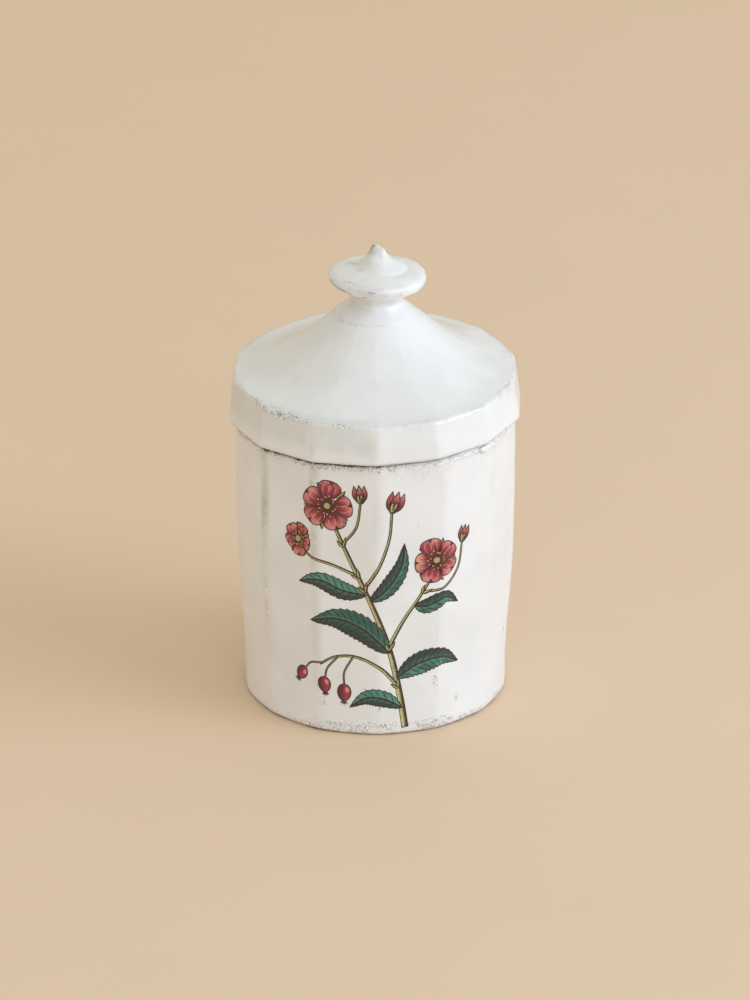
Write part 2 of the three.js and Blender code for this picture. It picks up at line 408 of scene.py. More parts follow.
def jar_thin(point, normal):
    """Where the glaze is thin and the clay greys it: over the ridges and near the rim and the foot."""
    angle = azimuth(point.x, point.y)
    ridge, away = nearest_ridge(angle, JAR_RIDGES)
    line = fade(abs(away - 0.6), 0.5, 3.4) * THIN_RIDGES.get(ridge, 0.1)
    line *= 0.9 + 0.9 * ragged(point * 0.6, 7, 6)
    line *= smooth(point.z, 6, 30) * (0.4 + 0.9 * smooth(point.z, 54, 76))
    below_rim = rim_height(point.x) - point.z
    rim = 0.3 * fade(below_rim, 1, 5) * (0.6 + 0.8 * ragged(point, 9, 7))
    foot = 0.3 * fade(point.z, 0.6, 2.4) * (0.6 + 0.9 * ragged(point, 6, 8))
    return most(line, rim, foot)


def up_to(height, reach):
    """1 below a reach and 0 above it, with a slope between that the shader's grain breaks up."""
    return most(0.5 + (reach - height) / BARE_SLOPE)


def jar_bare(point, normal):
    """The wiped rim and the foot's underside are unglazed clay, in a ragged edge at the front left."""
    under = up_to(point.z, 0.25 + 0.45 * ragged(point, 4, 9))
    front_left = between(azimuth(point.x, point.y), -80, -50, -8, 14)
    reach = 0.1 + 0.45 * front_left + 0.45 * ragged(point, 2.5, 10)
    on_rim = up_to(rim_height(point.x) - point.z, reach)
    return max(under, on_rim * smooth(point.z, JAR_HEIGHT - 4, JAR_HEIGHT - 2.5))


def jar_pooled(point, normal):
    """Thick glossy glaze under the rim on the right."""
    near = between(rim_height(point.x) - point.z, 1.2, 2.2, 4.5, 6.5)
    right = between(azimuth(point.x, point.y), -10, 25, 70, 95)
    return near * right * smooth(ragged(point, 5, 19), -0.25, 0.15)


def make_jar():
    columns = Columns(JAR_RIDGES, JAR_RIDGE_WIDTH)
    wear_and_shade = (jar_worn, jar_thin, jar_bare, jar_pooled)
    return model("glazed_jar", jar_rings(), columns, jar_looseness, [(0.7, 26), (0.16, 5)], wear_and_shade)


# Places on the wall are the distance round it from the front and the height. Rays to it start outside
PICTURE_RADIUS = 43.6
OUTSIDE = 60


def wall_finder(jar):
    """A function from a place on the wall, and a height over its glaze, to a point in metres."""
    tree = BVHTree.FromObject(jar, bpy.context.evaluated_depsgraph_get())

    def on_wall(place, height):
        angle = place.x / PICTURE_RADIUS
        outward = Vector((math.sin(angle), -math.cos(angle), 0))
        start = (outward * OUTSIDE + Vector((0, 0, place.y))) * MM
        hit, normal, _, _ = tree.ray_cast(start, -outward)
        return hit + normal * height * MM

    return on_wall


# Beads of glaze that hang under the rim: their azimuth, width, height and how far they stand out
BEADS = [
    (50.9, 6.0, 2.8, 0.9), (46.2, 3.4, 1.5, 0.35), (55.8, 3.0, 1.8, 0.5), (60.3, 2.2, 2.0, 0.45),
    (40.6, 4.8, 1.5, 0.35), (34.5, 5.2, 1.4, 0.32), (27.8, 4.8, 1.3, 0.3), (22.2, 3.6, 1.2, 0.28),
    (16.5, 4.4, 1.3, 0.32), (9.5, 3.8, 1.1, 0.28), (3.0, 3.2, 1.0, 0.25), (-3.5, 3.2, 1.0, 0.25),
    (118, 3, 1.4, 0.4), (151, 3.4, 1.5, 0.5), (-158, 2.8, 1.3, 0.4), (-112, 3.2, 1.3, 0.4),
]
BEAD_DROP = 1.7
BEAD_SINK = 0.1
BEAD_SAG = 0.18


def make_beads(jar):
    """Flattened drops of glaze on the wall, a little below the rim, as one piece."""
    on_wall = wall_finder(jar)
    drops = []
    for angle, width, height, stand in BEADS:
        turn = math.radians(angle)
        sine, cosine = math.sin(turn), math.cos(turn)
        place = Vector((turn * PICTURE_RADIUS, rim_height(sine * MOUTH_RADIUS) - BEAD_DROP))
        deselect_all()
        bpy.ops.mesh.primitive_uv_sphere_add(segments=20, ring_count=12, radius=1)
        drop = bpy.context.object
        centre = on_wall(place, -BEAD_SINK)
        for vertex in drop.data.vertices:
            side, out, up = vertex.co.x * width / 2, -vertex.co.y * stand, vertex.co.z * height / 2
            up -= BEAD_SAG * height * (1 - vertex.co.x ** 2)
            lump = 1 + 0.16 * ragged((side + angle, up, out), 1.3, 20)
            away = Vector((cosine * side + sine * out, sine * side - cosine * out, up))
            vertex.co = centre + away * lump * MM
        drops.append(drop)
    beads = join(drops, "glaze_beads")
    paint(beads, never, never, never, everywhere)
    return beads


# The lid

LID_RIDGES = ridge_angles(LID_PARING)
LID_THIN_RIDGES = by_ridge(LID_RIDGES, {-50: 0.5, -25: 0.45, 1: 0.4, 25: 0.12, 128: 0.4, 180: 0.5})


def cover_sweep(share):
    """The cut of the dome from the shoulder, at 0, to the crown, at 1: its radius and height."""
    start = Vector((SHOULDER_RADIUS - SHOULDER_EDGE, SHOULDER_HEIGHT))
    crown = Vector((COLLAR_RADIUS, COVER_HEIGHT))
    first = start + Vector((-BORDER[0], BORDER[1]))
    second = crown + Vector((math.cos(CONE_SLOPE), -math.sin(CONE_SLOPE))) * CONE_LENGTH
    back = 1 - share
    return start * back ** 3 + crown * share ** 3 + (first * back + second * share) * 3 * back * share


def under_sweep(share):
    """The same cut, at an even thickness below."""
    along = (cover_sweep(min(share + 0.01, 1)) - cover_sweep(max(share - 0.01, 0))).normalized()
    return cover_sweep(share) + Vector((-along.y, along.x)) * COVER_THICKNESS


def seated(ring):
    """Leans the shoulder, tilts the lid to its seat on the slanted rim, and lifts it there."""
    share = most(min(ring.z / SHOULDER_HEIGHT, (COVER_HEIGHT - ring.z) / (COVER_HEIGHT - SHOULDER_HEIGHT)))
    return ring._replace(
        z=ring.z + SEAT,
        rise=RIM_SLOPE + SHOULDER_RISE[0] * share,
        back_rise=SHOULDER_RISE[1] * share,
        shift=COVER_SHIFT * max(ring.z, 0) / COVER_HEIGHT - RIM_SLOPE * ring.z,
    )


def lid_rings():
    hollow = [under_sweep(1 - step / HOLLOW_STEPS) for step in range(HOLLOW_STEPS + 1)]
    hollow = [Ring(radius, z) for radius, z in hollow if radius < RING_INNER - 0.5]
    roof = [Ring(3, hollow[0].z)]
    ring_inside = [Ring(RING_INNER, hollow[-1].z - 1.4), Ring(RING_INNER, 2), Ring(RING_INNER, -3)]
    low = RING_EDGE - RING_DEPTH
    ring_foot = edge_rings(RING_INNER + RING_EDGE, low, RING_EDGE, -180, -90, 2)
    ring_foot += edge_rings(RING_OUTER - RING_EDGE, low, RING_EDGE, -90, 0, 2)
    ring_outside = [Ring(RING_OUTER, -3), Ring(RING_OUTER, -0.8), Ring(RING_OUTER + 0.2, -0.1)]
    seat = [Ring(RING_OUTER + 1, 0), Ring(LID_RADIUS - 4, 0, LIP_FACETS)]
    lip = edge_rings(LID_RADIUS - LID_EDGE, LID_EDGE, LID_EDGE, -90, 0, facets=LIP_FACETS)
    skirt_top = SHOULDER_HEIGHT - SHOULDER_EDGE
    skirt = []
    for step in range(1, SKIRT_STEPS):
        up = step / SKIRT_STEPS
        radius, z = mix(LID_RADIUS, SHOULDER_RADIUS, up), mix(LID_EDGE, skirt_top, up)
        skirt.append(Ring(radius, z, mix(LIP_FACETS, SHOULDER_FACETS, up)))
    fade_to = SHOULDER_RADIUS - SHOULDER_EDGE
    shoulder = edge_rings(fade_to, skirt_top, SHOULDER_EDGE, 0, 90, facets=SHOULDER_FACETS)
    dome = []
    for step in range(1, DOME_STEPS + 1):
        radius, z = cover_sweep(step / DOME_STEPS)
        dome.append(Ring(radius, z, SHOULDER_FACETS * smooth(radius, fade_to - FACET_FADE, fade_to)))
    top = COVER_HEIGHT + 0.6
    crown = [Ring(COLLAR_RADIUS - 0.8, top - 0.15), Ring(COLLAR_RADIUS - 2, top), Ring(4, top)]
    below = roof + hollow + ring_inside + ring_foot + ring_outside + seat
    return [seated(ring) for ring in below + lip + skirt + shoulder + dome + crown]


def lid_height(point):
    """Height above the lid's own seat."""
    return point.z - SEAT - point.x * RIM_SLOPE


def shoulder_height(point):
    """The shoulder's height above the seat, as it leans."""
    return SHOULDER_HEIGHT + point.x * SHOULDER_RISE[0] + point.y * SHOULDER_RISE[1]


def lid_looseness(point):
    return between(lid_height(point), 0.4, 4, COVER_HEIGHT - 3, COVER_HEIGHT)


def from_shoulder(point):
    """Millimetres above the shoulder's edge, counted along the cut, with the skirt below it negative."""
    radius = math.hypot(point.x, point.y)
    up = lid_height(point) - shoulder_height(point)
    return up + max(SHOULDER_RADIUS - SHOULDER_EDGE - radius, 0) if radius < SHOULDER_RADIUS else up


def lid_worn(point, normal):
    """Broken glaze along the shoulder, most at the front left, and a little on the lip."""
    angle = azimuth(point.x, point.y)
    if math.hypot(point.x, point.y) < SHOULDER_RADIUS - 6:
        return 0
    heap = between(-angle, 29, 38, 48, 60)
    width = 1.1 + 1.4 * heap + ragged(point, 5, 11)
    band = fade(abs(from_shoulder(point) + 0.3), 0.3, max(width, 0.6))
    left = between(-angle, -14, 4, 62, 88)
    behind = smooth(abs(angle), 100, 140)
    band *= 0.1 + 0.45 * left + 0.7 * heap + 0.4 * behind + 0.8 * ragged(point, 6, 12)
    return most(band, fade(lid_height(point), 0.9, 2.2) * (0.1 + 0.4 * ragged(point, 7, 13)))


def lid_thin(point, normal):
    """Grey: thin glaze on the ridges and the shoulder, a blotch on the skirt at the front, and the skirt
    greyer above its lowest few millimetres on the left and the front left.
    """
    angle = azimuth(point.x, point.y)
    ridge, away = nearest_ridge(angle, LID_RIDGES)
    up = lid_height(point)
    radius = math.hypot(point.x, point.y)
    line = fade(abs(away), 0.4, 2.6) * LID_THIN_RIDGES.get(ridge, 0.12) * (0.7 + 0.9 * ragged(point, 6, 14))
    band = 0.3 * fade(abs(from_shoulder(point) + 0.4), 0.3, 2.2) * (0.7 + 1.1 * ragged(point, 4, 15))
    band *= smooth(radius, SHOULDER_RADIUS - 4, SHOULDER_RADIUS - 2)
    left = 0.42 * smooth(up, 2.5, 7) * between(-angle, 24, 30, 75, 110)
    front = 0.36 * smooth(up, 3, 6) * between(-angle, 0.5, 4, 24, 27)
    blotch = 0.6 * fade(math.hypot((angle + 4.5) * 0.45, (up - 6.5) * 0.7) / 4, 0.1, 1)
    on_skirt = between(up, 1, 4, SHOULDER_HEIGHT - 1, SHOULDER_HEIGHT + 1)
    on_skirt *= smooth(radius, SHOULDER_RADIUS - 5, SHOULDER_RADIUS - 3)
    return most(band, on_skirt * max(line, left, front, blotch))


def lid_bare_and_gap_shadow(point, normal):
    """The seat, the locating ring and the lip's lower edge are unglazed clay, most at the front left. Round
    the left and on the right the clay reaches higher as painted shadow of the gap under the lip.
    """
    angle = azimuth(point.x, point.y)
    # The reach is raised round the left, the front and the right, partly as painted shadow of the gap under
    # the lip
    left = between(angle, -106, -92, 18, 52)
    front = between(angle, -66, -48, 0, 24)
    side = max(between(angle, -106, -92, -62, -44), 0.55 * between(angle, 36, 60, 88, 104))
    behind = smooth(abs(angle), 105, 130)
    reach = 0.1 + 0.28 * left + 0.12 * front + 0.34 * side + 0.15 * behind + 0.2 * ragged(point, 3, 16)
    return up_to(lid_height(point), reach)


# Where glossy runs of glaze start and end along the shoulder, in degrees
SHOULDER_RUNS = [(20, 33), (37, 56), (66, 73), (84, 98), (128, 140), (-150, -141)]


def lid_pooled(point, normal):
    """Thick and glossy runs along the shoulder on the right, below 0 for the duller glaze between them."""
    angle = azimuth(point.x, point.y)
    near = fade(abs(from_shoulder(point) + 0.2), 0.4, 1.7)
    run = max(between(angle, start - 1, start + 1, end - 1, end + 1) for start, end in SHOULDER_RUNS)
    return near * (run * (1.2 + 0.8 * ragged(point, 2.5, 18)) - 0.45 * smooth(angle, 8, 16))


def make_lid():
    columns = Columns(LID_RIDGES, LID_RIDGE_WIDTH)
    wear_and_shade = (lid_worn, lid_thin, lid_bare_and_gap_shadow, lid_pooled)
    return model("glazed_lid", lid_rings(), columns, lid_looseness, [(0.7, 24), (0.22, 4.5)], wear_and_shade)


# The knob


def collar_rings():
    """The collar and the neck, which lean and shift towards the disc."""
    waist = NECK_RADIUS - NECK_WAIST
    step = [(0.5, -1.5), (0.5, -0.6), (0.12, -0.08), (-0.3, 0.34), (-0.85, 0.76)]
    step += [(-1.6, 1.3), (-2.6, 2), (-3.3, 2.6)]
    rows = [(6, -2.6)] + [(COLLAR_RADIUS + out, z) for out, z in step]
    rows += [(waist + 0.7, 3.2), (waist + 0.25, 3.8), (waist, 4.5), (NECK_RADIUS - 0.1, NECK_HEIGHT)]
    rings = []
    for radius, z in rows:
        share = smooth(z, 0, NECK_HEIGHT)
        rings.append(Ring(radius, z, rise=-KNOB_LEAN * share, shift=KNOB_SHIFT * share))
    return rings


def disc_rings():
    rim_z = NECK_HEIGHT + DISC_RIM
    rings = [Ring(NECK_RADIUS + out, NECK_HEIGHT + up) for out, up in ((0.35, 0.7), (1.1, 1.4), (3.1, 2.6))]
    rings += edge_rings(DISC_RADIUS - DISC_RIM_EDGE, rim_z, DISC_RIM_EDGE, -62, 62, 4)
    return rings + [Ring(12.6, rim_z + 2.55), Ring(10.6, FACE - 0.4), Ring(9.3, FACE - 0.2, shift=0.1)]


def button_rings():
    """The button's step and slope, up to its pinched tip."""
    low, peak = BUTTON_HEIGHT, TIP_SHIFT + PEAK_SHIFT
    rows = (
        (BUTTON_RADIUS + 0.6, 0.05, -0.35), (BUTTON_RADIUS, 0.42, 0.15), (BUTTON_RADIUS - 0.7, 0.8, 0.35),
        (6.1, 1.25, 0), (4.9, 2.05, -0.55), (4.2, 2.8, -0.95), (3.8, 3.4, -1.15),
        (3.3, low - 0.35, TIP_SHIFT + 0.1, 0, 0.95),
        (TIP_RADIUS + 0.25, low + 0.15, TIP_SHIFT, 0.12, 0.88),
        (TIP_RADIUS + 0.05, low + 0.6, TIP_SHIFT, 0.22, PINCH),
        (TIP_RADIUS - 0.3, low + 1.15, TIP_SHIFT - 0.05, 0.24, PINCH),
        (1.75, low + 1.8, TIP_SHIFT - 0.25, 0.12, PINCH),
        (1.15, low + 2.45, peak + 0.05, 0, PINCH),
        (0.75, TIP_HEIGHT - 0.05, peak, 0, PINCH),
        (0.3, TIP_HEIGHT + 0.1, peak, 0, PINCH),
    )
    rings = [Ring(radius, FACE + up, 0, *more) for radius, up, *more in rows]
    return [ring._replace(shift=ring.shift + FINIAL_SHIFT) for ring in rings]


def knob_rings():
    """The knob's cut, from inside the dome up to its tip."""
    rings = collar_rings()
    for ring in disc_rings() + button_rings():
        shift = KNOB_SHIFT + KNOB_LEAN * (ring.z - NECK_HEIGHT) + ring.shift
        rings.append(ring._replace(rise=ring.rise - KNOB_LEAN, shift=shift))
    return [
        ring._replace(
            z=ring.z + CROWN_Z,
            rise=ring.rise + RIM_SLOPE,
            shift=ring.shift + COVER_SHIFT - RIM_SLOPE * (ring.z + COVER_HEIGHT),
        )
        for ring in rings
    ]


def knob_looseness(point):
    above_seam = mix(0.45, 1, smooth(point.z, CROWN_Z + 0.2, CROWN_Z + 2.5))
    return above_seam * (1 - 0.6 * smooth(point.z, TIP_Z - 0.5, TIP_Z + 0.5))


def on_left(point, start, end):
    """0 to 1 by the azimuth round the knob, where the left is positive."""
    return smooth(-azimuth(point.x - KNOB_SHIFT, point.y), start, end)


def knob_worn(point, normal):
    """Roughness along the seam under the collar and under the disc on the left."""
    left = on_left(point, -10, 45)
    seam = fade(abs(point.z - CROWN_Z + 0.3), 0.2, 0.8) * (0.4 * left + 0.5 * ragged(point, 4, 23))
    under = smooth(-normal.z, -0.1, 0.35) * smooth(point.z, DISC_Z, DISC_Z + 1.5)
    return most(seam, under * (0.35 * left + 0.25 * ragged(point, 5, 21)))


def knob_thin_and_shade(point, normal):
    """Grey on the knob: painted shade under the disc, most on the left and least where it faces right,
    painted shade on the tip's front face, and a faint painted shade over the knob's left side; and thin
    greyish glaze along the collar seam, most on the left.
    """
    left = on_left(point, -40, 40)
    above = point.z - CROWN_Z
    # Painted shade under the disc, more on the left, less where the surface faces right
    under = smooth(-normal.z, -0.4, 0.2) * smooth(point.z, DISC_Z, DISC_Z + 1.5) * (0.1 + 0.17 * left)
    under *= 1 - 0.8 * smooth(normal.x, 0.35, 0.6)
    # Painted shade on the tip's front face, up to its right edge
    tip = smooth(point.z, TIP_Z - 1.2, TIP_Z + 0.3) * fade(point.x, TIP_EDGE - 0.25, TIP_EDGE + 0.15)
    tip *= smooth(-normal.y, -0.4, 0.1)
    seam = 0.3 * fade(abs(above + 0.3), 0.2, 0.9) * (0.3 + 0.7 * left)
    # The 0.08 share paints a faint shade over the knob's left side
    return most(max(under, tip, seam, 0.08 * left) * (0.75 + 0.9 * ragged(point, 3.5, 25)))


def knob_pooled(point, normal):
    """The disc's lower edge and the neck are thick and glossy on the right."""
    edge = fade(abs(point.z - DISC_Z - DISC_RIM + 1.2), 0.8, 2.0)
    edge *= 0.2 + 0.6 * smooth(ragged(point, 3.5, 26), 0.05, 0.3)
    neck = 0.35 * fade(abs(point.z - DISC_Z + 1.6), 0.8, 1.8)
    return max(edge, neck) * between(azimuth(point.x - KNOB_SHIFT, point.y), 0, 20, 50, 80)


def make_knob():
    columns = RoundColumns(48)
    wear_and_shade = (knob_worn, knob_thin_and_shade, never, knob_pooled)
    return model("glazed_knob", knob_rings(), columns, knob_looseness, [(0.55, 9), (0.28, 3.2)], wear_and_shade)


# Shader maths


class Socket:
    """A node's output, or a number, with Python's operators as Math nodes."""

    def __init__(self, shader, value):
        self.shader = shader
        self.value = value

    def _math(self, operation, *others, **settings):
        return self.shader.node("ShaderNodeMath", {"operation": operation, **settings}, [self, *others])

    def __add__(self, other):
        return self._math("ADD", other)

    def __sub__(self, other):
        return self._math("SUBTRACT", other)

    def __mul__(self, other):
        return self._math("MULTIPLY", other)

    def __truediv__(self, other):
        return self._math("DIVIDE", other)

    def __rsub__(self, other):
        return self.shader.node("ShaderNodeMath", {"operation": "SUBTRACT"}, [other, self])

    __radd__ = __add__

    def __abs__(self):
        return self._math("ABSOLUTE")

    def max(self, other):
        return self._math("MAXIMUM", other)

    def sine(self):
        return self._math("SINE")

    def clamp(self):
        return self._math("ADD", 0, use_clamp=True)

    def ramp(self, low, high):
        """0 below low and 1 above high, with a smooth step between. low may be above high."""
        inputs = {"Value": self, "From Min": low, "From Max": high, "To Min": 0, "To Max": 1}
        return self.shader.node("ShaderNodeMapRange", {"interpolation_type": "SMOOTHSTEP"}, inputs)


class Shader:
    """A material under construction."""

    def __init__(self, name):
        self.material = bpy.data.materials.new(name)
        self.material.use_nodes = True
        self.tree = self.material.node_tree
        self.finish = self.tree.nodes["Principled BSDF"]

    def node(self, kind, settings=None, inputs=None, output=0):
        made = self.tree.nodes.new(kind)
        for key, value in (settings or {}).items():
            setattr(made, key, value)
        pairs = inputs.items() if isinstance(inputs, dict) else enumerate(inputs or [])
        for key, value in pairs:
            self.feed(made.inputs[key], value)
        return Socket(self, made.outputs[output])

    def feed(self, socket, value):
        if isinstance(value, Socket):
            self.tree.links.new(value.value, socket)
        else:
            socket.default_value = value

    def vector(self, operation, *inputs, output=0):
        return self.node("ShaderNodeVectorMath", {"operation": operation}, inputs, output)

    def scaled(self, vector, factor):
        return self.node("ShaderNodeVectorMath", {"operation": "SCALE"}, {0: vector, "Scale": factor})

    def position(self):
        """Object coordinates in millimetres."""
        return self.scaled(self.node("ShaderNodeTexCoord", output="Object"), 1 / MM)

    def attribute(self, name):
        return self.node("ShaderNodeAttribute", {"attribute_name": name}, output="Fac")

    def noise(self, place, size, detail=2, roughness=0.5, shift=0):
        """Noise from about 0 to 1, in lumps of a size in millimetres."""
        settings = {"noise_dimensions": "4D" if shift else "3D"}
        inputs = {"Vector": place, "Scale": 1 / size, "Detail": detail, "Roughness": roughness}
        if shift:
            inputs["W"] = shift
        return self.node("ShaderNodeTexNoise", settings, inputs)

    def blend(self, a, b, share):
        """Colour a turning into colour b."""
        inputs = {"Factor": share, 6: a, 7: b}
        return self.node("ShaderNodeMix", {"data_type": "RGBA"}, inputs, output=2)

    def coats(self, colour, *coats):
        """A colour under coats of others, each with the share it covers, the last on top."""
        for coat, share in coats:
            colour = self.blend(colour, coat, share)
        return colour

    def bump(self, height):
        """The surface raised by a height in millimetres."""
        return self.node("ShaderNodeBump", {}, {"Strength": 1, "Distance": MM, "Height": height})

    def set(self, **sockets):
        for name, value in sockets.items():
            self.feed(self.finish.inputs[name.replace("_", " ").title()], value)


WHITE = (0.85, 0.85, 0.845, 1)
# A whiter glaze for the tops of the crumbs: their thicker glaze, and a painted highlight on them
CREST = (0.93, 0.925, 0.915, 1)
MILK = (0.805, 0.805, 0.795, 1)
ASH = (0.42, 0.37, 0.29, 1)
# A cooler grey for the lid and the knob, which on the knob also paints shade
SMOKE = (0.41, 0.385, 0.335, 1)
UMBER = (0.17, 0.125, 0.095, 1)
# The dark clay's brown, which also paints the shadow of the gap under the lid
CLAY_AND_GAP_SHADOW = (0.15, 0.083, 0.055, 1)


def specks(shader, place, size, radius, likely, seed):
    """Round specks, one in each cell of a size, in so many of the cells. likely runs from 0 to 1."""
    moved = shader.vector("ADD", place, (seed, seed * 2.7, -seed))
    inputs = {"Vector": moved, "Scale": 1 / size, "Randomness": 0.9}
    away = shader.node("ShaderNodeTexVoronoi", {}, inputs) * size
    colour = shader.node("ShaderNodeTexVoronoi", {}, inputs, output="Color")
    chance = shader.node("ShaderNodeSeparateColor", {}, [colour])
    return away.ramp(radius * 1.25, radius * 0.7) * (likely - chance).ramp(0.0, 0.05)


# Smears are the two ends of a line, how far each reaches from it, all in millimetres, and how strong it is.
# These are iron stains that the dark clay left on the knob
STAINS = [
    ((-13.9, -3.8, 138.9), (-13.0, -6.5, 138.6), 0.5, 0.75),
    ((-13.0, -6.5, 138.6), (-11.4, -9.1, 138.2), 0.5, 0.6),
    ((-11.4, -9.1, 138.2), (-9.2, -11.5, 138.0), 0.5, 0.7),
    ((-9.2, -11.5, 138.0), (-7.4, -12.4, 137.4), 0.5, 0.5),
    ((-9.4, -9.5, 140.7), (-8.0, -10.4, 140.8), 0.5, 0.4),
    ((-8.0, -10.4, 140.8), (-6.5, -11.6, 140.7), 0.6, 0.5),
    ((-5.4, -12.9, 140.2), (0.6, -15.2, 139.0), 2.4, 0.16),
    ((-1.8, -15.0, 139.0), (0, -15.2, 138.8), 0.5, 0.7),
    ((0, -15.2, 138.8), (4.0, -14.9, 137.8), 0.9, 0.22),
    ((-5.2, -12.9, 136.6), (-2.8, -14.3, 137.1), 0.6, 0.35),
    ((-7.8, -2.0, 131.6), (-7.2, -3.6, 131.2), 0.6, 0.5),
    ((-8.4, -2.8, 130.4), (-5.3, -6.6, 130.9), 1.6, 0.1),
    ((-5.3, -6.6, 130.9), (-2.2, -8.3, 130.4), 1.8, 0.12),
    ((-10.8, -7.6, 127.6), (-9.0, -9.6, 127.4), 0.5, 0.7),
    ((-9.0, -9.6, 127.4), (-7.1, -11.2, 127.0), 0.45, 0.35),
    ((-2.3, 0, 145.8), (-1.6, -0.4, 147.4), 0.55, 0.75),
    ((-1.6, -0.4, 147.4), (-0.7, -0.5, 148.8), 0.75, 0.8),
    ((-0.7, -0.5, 148.8), (0.2, -0.5, 149), 0.5, 0.6),
]
# Places on the knob where the glaze is thin and grey, and where grey is painted as shade: along the disc's
# lower rim, where its underside meets the neck, and on the tip's front
FAINT = [
    ((-8.7, -10.6, 126.5), (-2.2, -12.9, 126.8), 1.0, 0.5),
    ((-2.2, -12.9, 126.8), (4.5, -12.2, 126.8), 0.8, 0.35),
    # Painted shade along the front of the disc's lower rim
    ((-9.6, -11.9, 139.4), (-3.0, -14.8, 138.6), 1.2, 0.4),
    ((-3.0, -14.8, 138.6), (8.2, -13.1, 137.4), 1.3, 0.7),
    ((-7.8, 2.4, 141.9), (-5.9, 0.3, 142.8), 1.8, 0.75),
    ((-5.9, 0.3, 142.8), (-4.6, -3.0, 143.4), 1.2, 0.6),
    ((-4.9, -3.5, 141.9), (-4.3, -4.5, 141.9), 1.2, 0.6),
    # Painted shadow where the disc's underside meets the neck
    ((-2.2, -7.9, 132.5), (5.6, -6.8, 132.4), 0.6, 0.8),
    # Painted shade on the disc's front rim, on the right
    ((0.4, -14.9, 140.2), (9.4, -12.2, 139.6), 1.5, 0.45),
    # Painted shade on the tip's front face, by its right edge
    ((1.5, -2.1, 145.9), (2.1, -1.4, 147.6), 1.1, 1),
    ((0.4, -4.6, 144.0), (2.6, -4.2, 144.4), 0.9, 0.3),
]


# Chips in the wall: their azimuth, height and radius
CHIPS = [
    (-4.4, 16, 1.3), (26.7, 17.4, 1.6), (25, 22.5, 1.0), (-23, 10.8, 1.2), (18.3, 72.7, 0.9),
    (-26.6, 74.6, 1.6), (-50.8, 72, 1.8), (-50.6, 67, 1.4), (-26.2, 86, 1.0), (-50.8, 47, 1.0),
    (38, 9, 0.9), (2, 9.5, 1.1), (-90, 40, 1.2), (110, 60, 1.3), (150, 30, 1.4),
    (-140, 75, 1.2), (178, 52, 1.5), (75, 22, 1.1),
]

CHIP_SINK = 0.4
CHIP_STRENGTH = 0.6


def chip_smears():
    smears = []
    for angle, z, radius in CHIPS:
        turn, out = math.radians(angle), jar_radius(z) - CHIP_SINK
        x, y = out * math.sin(turn), -out * math.cos(turn)
        smears.append(((x, y, z - 0.7 * radius), (x, y, z + 0.7 * radius), radius, CHIP_STRENGTH))
    return smears


def smeared(shader, place, smears):
    """How much smears cover a surface, their edges broken by a fine grain."""
    grain = shader.noise(place, 1.5, detail=4, roughness=0.75, shift=13) - 0.5
    total = None
    for start, end, reach, strength in smears:
        way = Vector(end) - Vector(start)
        from_start = shader.vector("SUBTRACT", place, start)
        share = shader.vector("DOT_PRODUCT", from_start, way / way.length_squared, output=1).clamp()
        away = shader.vector("DISTANCE", from_start, shader.scaled(way, share), output=1)
        stain = (away / reach + grain * 2.2).ramp(1.15, 0.0) * strength
        total = total.max(stain) if total else stain
    return total


